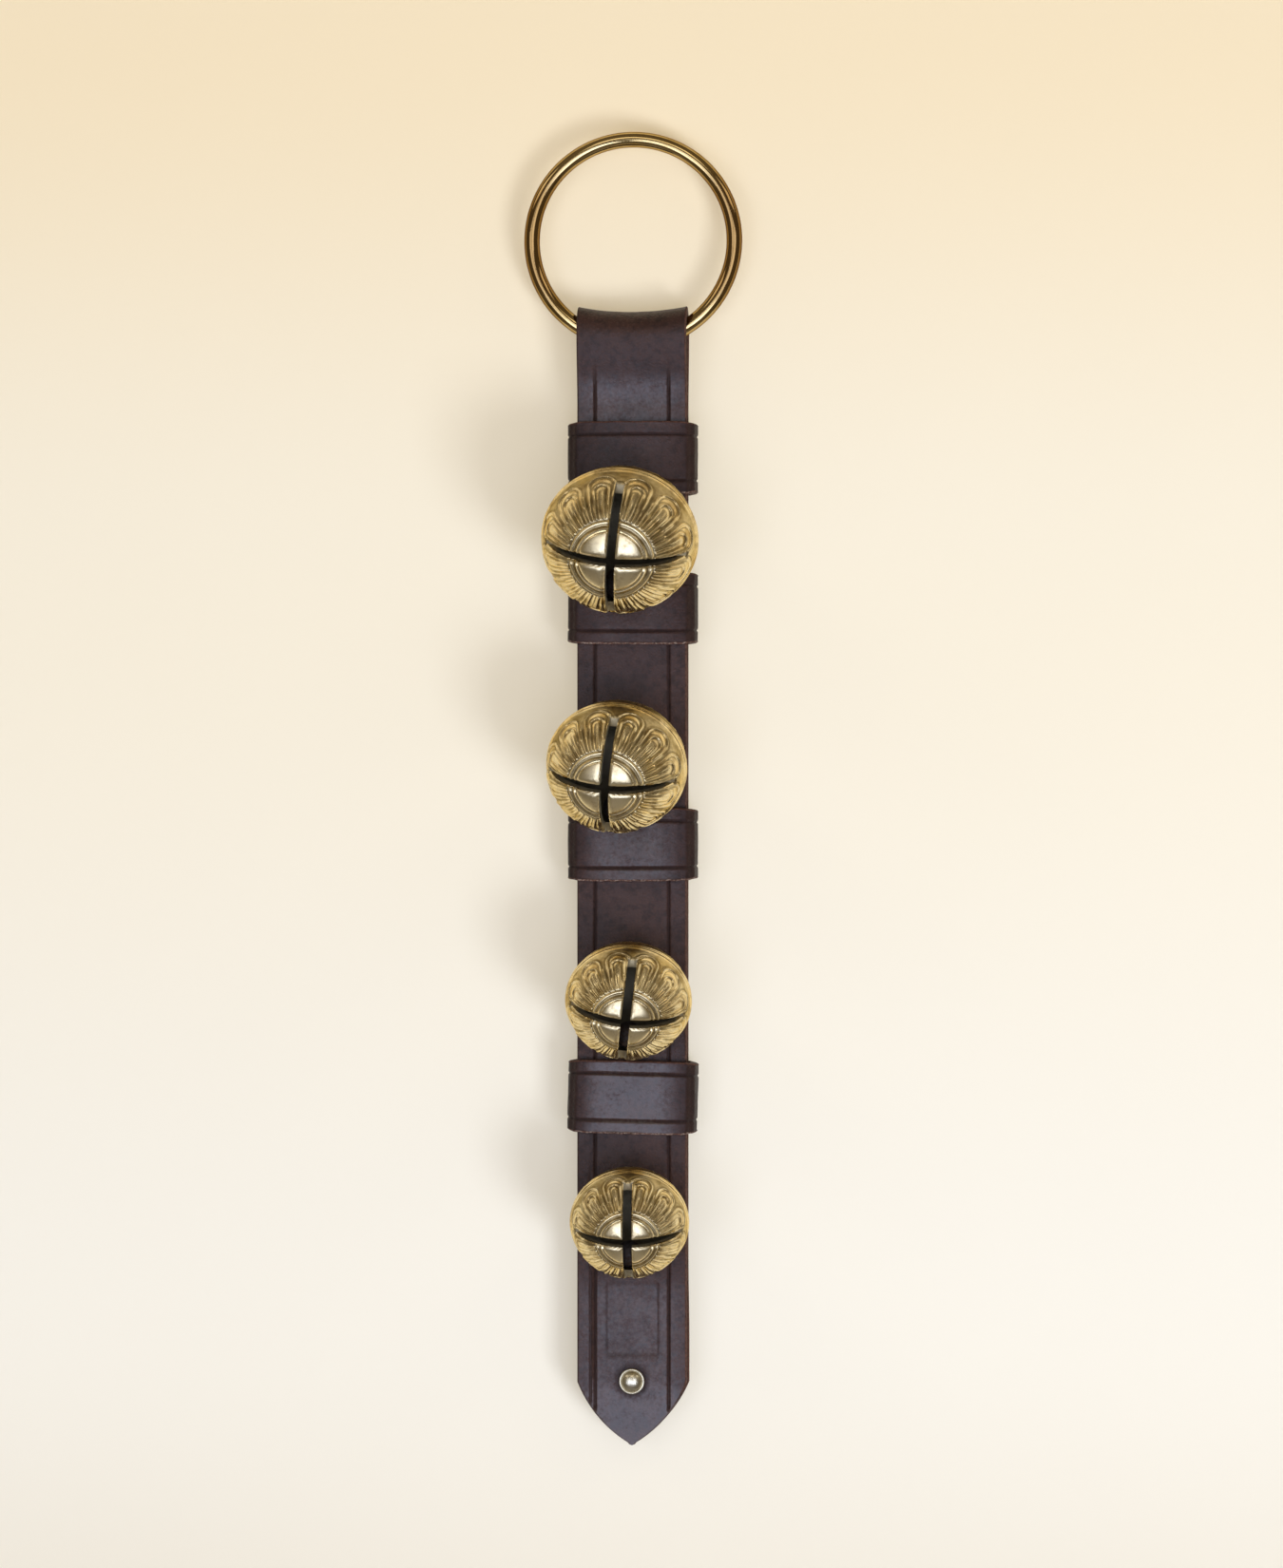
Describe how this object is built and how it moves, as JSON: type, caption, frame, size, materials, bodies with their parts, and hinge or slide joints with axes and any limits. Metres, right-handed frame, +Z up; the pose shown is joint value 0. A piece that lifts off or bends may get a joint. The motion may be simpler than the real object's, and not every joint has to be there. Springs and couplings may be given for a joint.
{
  "type": "sleigh bell strap",
  "caption": "Folded leather strap on a round metal ring, with cast bells pinned in a row and held flat by leather keepers; it hangs on a door and jingles when moved.",
  "frame": {"origin": "inside top of the ring, where the strap hangs", "axes": "+Z up, -Y out of the front where the bells are, +X to the right as seen from the front"},
  "size_m": [0.0636, 0.0589, 0.3808],
  "materials": {
    "ring_brass": "polished",
    "strap_leather": "satin",
    "keeper_leather": "satin",
    "bell_brass": "antiqued cast",
    "pin_steel": "bright wire",
    "pellet_iron": "dull",
    "rivet_brass": "plated"
  },
  "bodies": {
    "ring": {"hanging_ring": "ring_brass"},
    "strap": {"strap": "strap_leather", "rivet_cap": "rivet_brass", "rivet_base": "rivet_brass", "cotter_pin_1": "pin_steel", "cotter_pin_2": "pin_steel", "cotter_pin_3": "pin_steel", "cotter_pin_4": "pin_steel"},
    "bell_1": {"bell_shell_1": "bell_brass"},
    "pellet_1": {"pellet_1": "pellet_iron"},
    "bell_2": {"bell_shell_2": "bell_brass"},
    "pellet_2": {"pellet_2": "pellet_iron"},
    "bell_3": {"bell_shell_3": "bell_brass"},
    "pellet_3": {"pellet_3": "pellet_iron"},
    "bell_4": {"bell_shell_4": "bell_brass"},
    "pellet_4": {"pellet_4": "pellet_iron"},
    "keeper_1": {"keeper_1": "keeper_leather"},
    "keeper_2": {"keeper_2": "keeper_leather"},
    "keeper_3": {"keeper_3": "keeper_leather"},
    "keeper_4": {"keeper_4": "keeper_leather"}
  },
  "joints": [
    {"name": "strap_swing", "type": "hinge", "parent": "ring", "child": "strap", "pos_m": [0, 0, -0.05428], "axis": [-1, 0, 0], "range_deg": [0, 45]},
    {"name": "bell_1_lift", "type": "hinge", "parent": "strap", "child": "bell_1", "pos_m": [0, -0.00125, -0.10478], "axis": [-1, 0, 0], "range_deg": [0, 15]},
    {"name": "pellet_1_rattle", "type": "hinge", "parent": "bell_1", "child": "pellet_1", "pos_m": [-0.00172, -0.02867, -0.11505], "axis": [0, 1, 0], "continuous": true},
    {"name": "bell_2_lift", "type": "hinge", "parent": "strap", "child": "bell_2", "pos_m": [0, -0.00125, -0.17098], "axis": [-1, 0, 0], "range_deg": [0, 20]},
    {"name": "pellet_2_rattle", "type": "hinge", "parent": "bell_2", "child": "pellet_2", "pos_m": [-0.00292, -0.02499, -0.17968], "axis": [0, 1, 0], "continuous": true},
    {"name": "bell_3_lift", "type": "hinge", "parent": "strap", "child": "bell_3", "pos_m": [0, -0.00125, -0.23878], "axis": [-1, 0, 0], "range_deg": [0, 20]},
    {"name": "pellet_3_rattle", "type": "hinge", "parent": "bell_3", "child": "pellet_3", "pos_m": [0.00034, -0.02293, -0.24667], "axis": [0, 1, 0], "continuous": true},
    {"name": "bell_4_lift", "type": "hinge", "parent": "strap", "child": "bell_4", "pos_m": [0, -0.00125, -0.30388], "axis": [-1, 0, 0], "range_deg": [0, 20]},
    {"name": "pellet_4_rattle", "type": "hinge", "parent": "bell_4", "child": "pellet_4", "pos_m": [0.00054, -0.02191, -0.3102], "axis": [0, 1, 0], "continuous": true},
    {"name": "keeper_1_slide", "type": "slide", "parent": "strap", "child": "keeper_1", "axis": [0, 0, 1], "range_m": [0, 0.0035]},
    {"name": "keeper_2_slide", "type": "slide", "parent": "strap", "child": "keeper_2", "axis": [0, 0, 1], "range_m": [-0.018, 0]},
    {"name": "keeper_3_slide", "type": "slide", "parent": "strap", "child": "keeper_3", "axis": [0, 0, 1], "range_m": [-0.015, 0]},
    {"name": "keeper_4_slide", "type": "slide", "parent": "strap", "child": "keeper_4", "axis": [0, 0, 1], "range_m": [-0.008, 0.005]}
  ]
}
